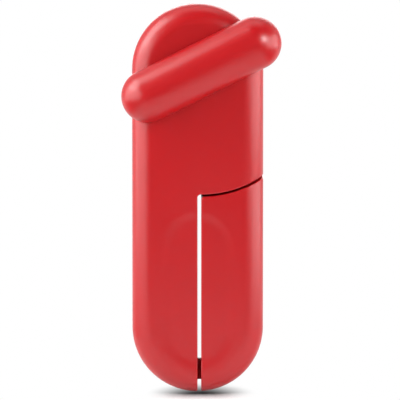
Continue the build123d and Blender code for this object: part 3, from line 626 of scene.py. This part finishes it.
@dataclass(frozen=True)
class Table:
    """A white table: matt card under the object with a painted contact shadow in its colour, and plain white
    around it.
    """

    clearance_mm: float = 0.108  # from the object's lower end down to the table
    half_width: float = 3.0
    lines: int = 5
    # the card's colour in the darkest part of the painted contact shadow
    painted_shadow_tone: float = 0.01
    card_tone: float = 0.95
    bounce_tone: float = 0.8  # the card as it lights the object
    painted_shadow_reach: float = 0.055  # how far off the object can hide the sky from the card, which darkens the card with painted shadow
    sky_span: tuple[float, float] = (0.52, 0.87)  # share of open sky where the painted shadow is darkest, and where it ends
    # the painted shadow's middle and its half sizes: an oval in front of the object
    painted_shadow_y: float = -0.045
    painted_shadow_half_size: tuple[float, float] = (0.026, 0.06)
    fade_span: tuple[float, float] = (0.3, 1.15)  # where card turns to white, in half sizes of the painted shadow
    mirror_span: tuple[float, float] = (4.0, 8.0)  # the same, in what the object mirrors
    white_depth: float = 0.2  # the object mirrors white from this far behind it, and black before it

    def card(self, tree: bpy.types.NodeTree, camera_ray: bpy.types.NodeSocket) -> bpy.types.NodeSocket:
        """Draws the matt card with a painted contact shadow: the colour that the camera sees goes dark where
        the object hides the sky.

        Args:
            tree: The material's tree.
            camera_ray: 1 for what the camera sees directly.

        Returns:
            The card's shader.
        """
        # painted shadow: the card's colour, for the camera only, goes dark where the object hides the sky
        sky = add_node(tree, "ShaderNodeAmbientOcclusion", {"Distance": self.painted_shadow_reach}, samples=16)
        shadow = add_node(
            tree,
            "ShaderNodeMapRange",
            {
                "Value": sky.outputs["AO"],
                "From Min": self.sky_span[0],
                "From Max": self.sky_span[1],
                "To Min": self.painted_shadow_tone,
                "To Max": self.card_tone,
            },
        )
        tone = add_node(
            tree,
            "ShaderNodeMapRange",
            {"Value": camera_ray, "To Min": self.bounce_tone, "To Max": shadow.outputs["Result"]},
        )
        return add_node(tree, "ShaderNodeBsdfDiffuse", {"Color": tone.outputs["Result"]}).outputs["BSDF"]

    def material(self) -> bpy.types.Material:
        """Mixes the card with plain white by the distance from the painted shadow's middle.

        Returns:
            The material.
        """
        material = bpy.data.materials.new("table_white_matt_card")
        material.use_nodes = True
        tree = material.node_tree
        tree.nodes.clear()
        ray = add_node(tree, "ShaderNodeLightPath")
        place = add_node(tree, "ShaderNodeTexCoord").outputs["Object"]
        across, along = self.painted_shadow_half_size
        oval = add_node(
            tree,
            "ShaderNodeMapping",
            {
                "Vector": place,
                "Location": (0.0, -self.painted_shadow_y / along, 0.0),
                "Scale": (1 / across, 1 / along, 0.0),
            },
        )
        far = add_node(
            tree, "ShaderNodeVectorMath", {0: oval.outputs["Vector"]}, operation="LENGTH"
        ).outputs["Value"]
        seen = add_node(
            tree,
            "ShaderNodeMapRange",
            {"Value": far, "From Min": self.fade_span[0], "From Max": self.fade_span[1]},
            interpolation_type="SMOOTHSTEP",
        )
        by_camera = add_node(
            tree,
            "ShaderNodeMath",
            {0: seen.outputs["Result"], 1: ray.outputs["Is Camera Ray"]},
            operation="MULTIPLY",
        )
        mirrored = add_node(
            tree,
            "ShaderNodeMapRange",
            {"Value": far, "From Min": self.mirror_span[0], "From Max": self.mirror_span[1]},
        )
        whiteness = add_node(
            tree,
            "ShaderNodeMath",
            {0: mirrored.outputs["Result"], 1: ray.outputs["Is Glossy Ray"], 2: by_camera.outputs["Value"]},
            operation="MULTIPLY_ADD",
        )
        depth = add_node(tree, "ShaderNodeSeparateXYZ", {"Vector": place}).outputs["Y"]
        behind = add_node(
            tree, "ShaderNodeMapRange", {"Value": depth, "From Min": 0.0, "From Max": self.white_depth}
        )
        level = add_node(
            tree,
            "ShaderNodeMath",
            {0: ray.outputs["Is Camera Ray"], 1: behind.outputs["Result"]},
            operation="MAXIMUM",
        )
        white = add_node(
            tree, "ShaderNodeEmission", {"Color": linear("#ffffff"), "Strength": level.outputs["Value"]}
        )
        surface = add_node(
            tree,
            "ShaderNodeMixShader",
            {
                0: whiteness.outputs["Value"],
                1: self.card(tree, ray.outputs["Is Camera Ray"]),
                2: white.outputs["Emission"],
            },
        )
        add_node(tree, "ShaderNodeOutputMaterial", {"Surface": surface.outputs["Shader"]})
        return material

    def build(self) -> None:
        """Lays the table as a flat square grid under the object."""
        line = np.linspace(-self.half_width, self.half_width, self.lines)
        u, v = np.meshgrid(line, line)
        height = CAD_BOX[0][2] - self.clearance_mm * MM
        points = np.stack([u, v, np.full_like(u, height)], axis=-1)[None]
        floor = grid_mesh("table", points, False, self.material())


@dataclass(frozen=True)
class Surround:
    """The room: white to the camera, a dim even light, and in mirrors dark in front and white behind."""

    ambient: float = 0.08
    mirrored_front: float = 0.02
    mirrored_back: float = 0.6
    turn_span: tuple[float, float] = (-0.1, 0.5)  # the Y part of a direction, from front to back

    def build(self) -> None:
        """Makes the world's nodes, which pick a level by the kind of ray."""
        world = bpy.data.worlds.new("studio_surround")
        bpy.context.scene.world = world
        world.use_nodes = True
        tree = world.node_tree
        tree.nodes.clear()
        ray = add_node(tree, "ShaderNodeLightPath")
        way = add_node(tree, "ShaderNodeTexCoord").outputs["Generated"]
        depth = add_node(tree, "ShaderNodeSeparateXYZ", {"Vector": way}).outputs["Y"]
        mirrored = add_node(
            tree,
            "ShaderNodeMapRange",
            {
                "Value": depth,
                "From Min": self.turn_span[0],
                "From Max": self.turn_span[1],
                "To Min": self.mirrored_front,
                "To Max": self.mirrored_back,
            },
            interpolation_type="SMOOTHSTEP",
        )
        unseen = add_node(
            tree,
            "ShaderNodeMapRange",
            {
                "Value": ray.outputs["Is Glossy Ray"],
                "To Min": self.ambient,
                "To Max": mirrored.outputs["Result"],
            },
        )
        seen = add_node(
            tree,
            "ShaderNodeMath",
            {0: ray.outputs["Is Camera Ray"], 1: ray.outputs["Is Transmission Ray"]},
            operation="MAXIMUM",
        )
        level = add_node(
            tree,
            "ShaderNodeMapRange",
            {"Value": seen.outputs["Value"], "To Min": unseen.outputs["Result"], "To Max": 1.0},
        )
        sky = add_node(
            tree, "ShaderNodeBackground", {"Color": linear("#ffffff"), "Strength": level.outputs["Result"]}
        )
        add_node(tree, "ShaderNodeOutputWorld", {"Surface": sky.outputs["Background"]})


@dataclass(frozen=True)
class Studio:
    """The table, the surround, the lamps and the camera of the picture."""

    middle: tuple[float, float, float] = (-0.00067, -0.015, -0.0644)
    field_width: float = 0.1958  # what the picture's width takes in at the middle
    distance: float = 1.6
    elevation_deg: float = 4.5
    sensor_mm: float = 36.0
    clip: tuple[float, float] = (0.05, 20.0)
    table: Table = Table()
    surround: Surround = Surround()
    softboxes: tuple[Softbox, ...] = (
        Softbox("left_box", (-0.74, -0.27, 0.02), (1.25, 0.8), 11.0),
        Softbox("right_box", (0.76, -0.13, -0.02), (0.9, 0.7), 7.6),
        Softbox("upper_left_box", (-0.55, -0.13, 0.45), (0.5, 0.5), 5.4),
        Softbox("key_box", (0.60, -0.70, 0.30), (0.26, 0.26), 5.8),
        Softbox("top_box", (0.0, 0.05, 0.75), (0.7, 0.4), 1.0),
        Softbox("back_box", (0.1, 0.95, 0.30), (0.7, 0.7), 4.0),
    )

    def build_camera(self, target: np.ndarray) -> None:
        """Sets the camera square to the front, a little above the middle, with a long lens.

        Args:
            target: The point that it looks at.
        """
        data = bpy.data.cameras.new("camera")
        data.sensor_width = self.sensor_mm
        data.lens = self.sensor_mm * self.distance / self.field_width
        data.clip_start, data.clip_end = self.clip
        camera = bpy.data.objects.new("camera", data)
        bpy.context.scene.collection.objects.link(camera)
        rise = math.radians(self.elevation_deg)
        aim(camera, target + self.distance * np.array((0.0, -math.cos(rise), math.sin(rise))), target)
        bpy.context.scene.camera = camera

    def build(self) -> None:
        """Makes the table, the surround, the lamps and the camera."""
        target = np.array(self.middle)
        self.table.build()
        self.surround.build()
        for box in self.softboxes:
            box.build(target)
        self.build_camera(target)
        bpy.context.scene.view_settings.view_transform = "Standard"


def main() -> None:
    """Builds the studio and dresses each sub-assembly in order."""
    logging.basicConfig(level=logging.INFO, format="%(name)s: %(message)s")
    for part in (Studio(), Casing(), Drive(), SwingingHandle(), CuttingWheel()):
        part.build()
        LOG.info("finished %s", type(part).__name__)


if __name__ == "__main__":
    main()
